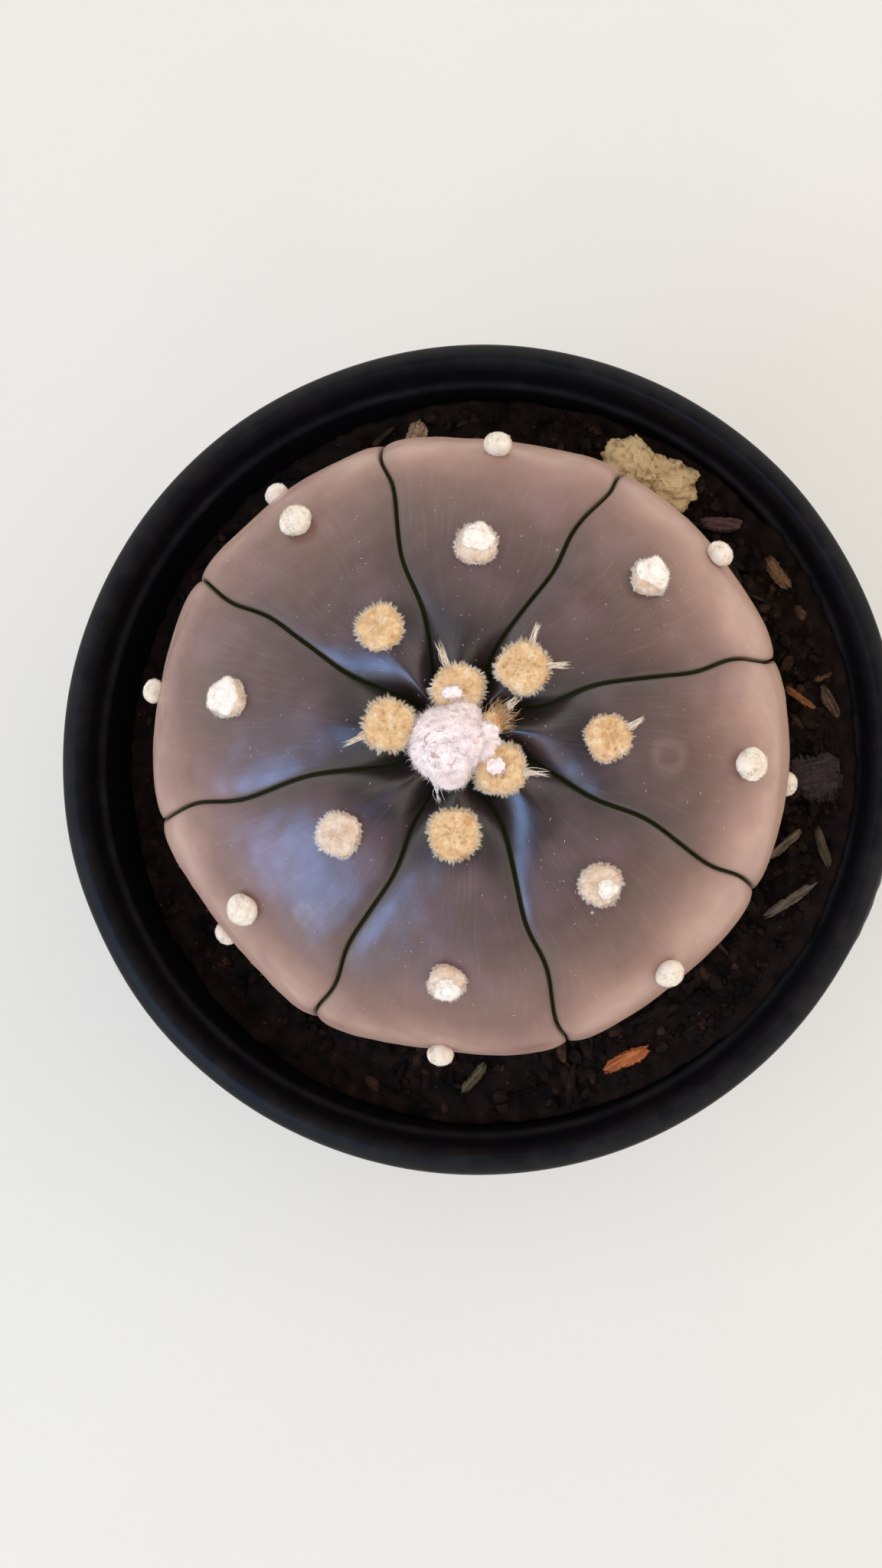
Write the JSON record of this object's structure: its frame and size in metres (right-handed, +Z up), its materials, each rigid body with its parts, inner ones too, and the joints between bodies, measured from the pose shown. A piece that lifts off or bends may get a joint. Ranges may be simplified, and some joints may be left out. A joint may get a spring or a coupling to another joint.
{
  "type": "potted star cactus",
  "caption": "Round spineless star cactus with grooved ribs, felted areoles and a woolly flower bud, in a black plastic nursery pot of bark soil.",
  "frame": {"origin": "middle of the pot's foot, on the surface that it stands on", "axes": "+Z up along the pot's axis; +X towards the side where the soil is heaped"},
  "size_m": [0.1014, 0.1014, 0.1085],
  "materials": {
    "pot_plastic": "satin black, slightly scuffed",
    "potting_soil": "damp dark peat and bark crumbs",
    "cactus_skin": "smooth waxy skin, mauve brown with fine pale specks",
    "flower_wool": "shaggy white wool with a pink tinge",
    "grit": "rough pale grit",
    "bark_orange": "raw orange bark",
    "bark_tan": "weathered tan bark",
    "bark_pale": "weathered pale bark",
    "bark_grey": "weathered grey bark",
    "bark_dark": "damp dark bark",
    "bark_brown": "brown bark",
    "bark_rose": "greyish pink bark",
    "splinter_rust": "rusty splinter of bark",
    "splinter_grey": "weathered grey splinter of bark"
  },
  "bodies": {
    "root": {"pot": "pot_plastic", "soil": "potting_soil", "cactus": "cactus_skin", "flower_bud": "flower_wool", "pale_lump": "grit", "bark_orange": "bark_orange", "bark_tan": "bark_tan", "bark_pale": "bark_pale", "bark_grey": "bark_grey", "bark_dark": "bark_dark", "bark_brown": "bark_brown", "bark_rose": "bark_rose", "splinter_rust": "splinter_rust", "splinter_near": "splinter_grey", "splinter_wall": "splinter_grey", "splinter_long": "splinter_grey"}
  },
  "joints": []
}
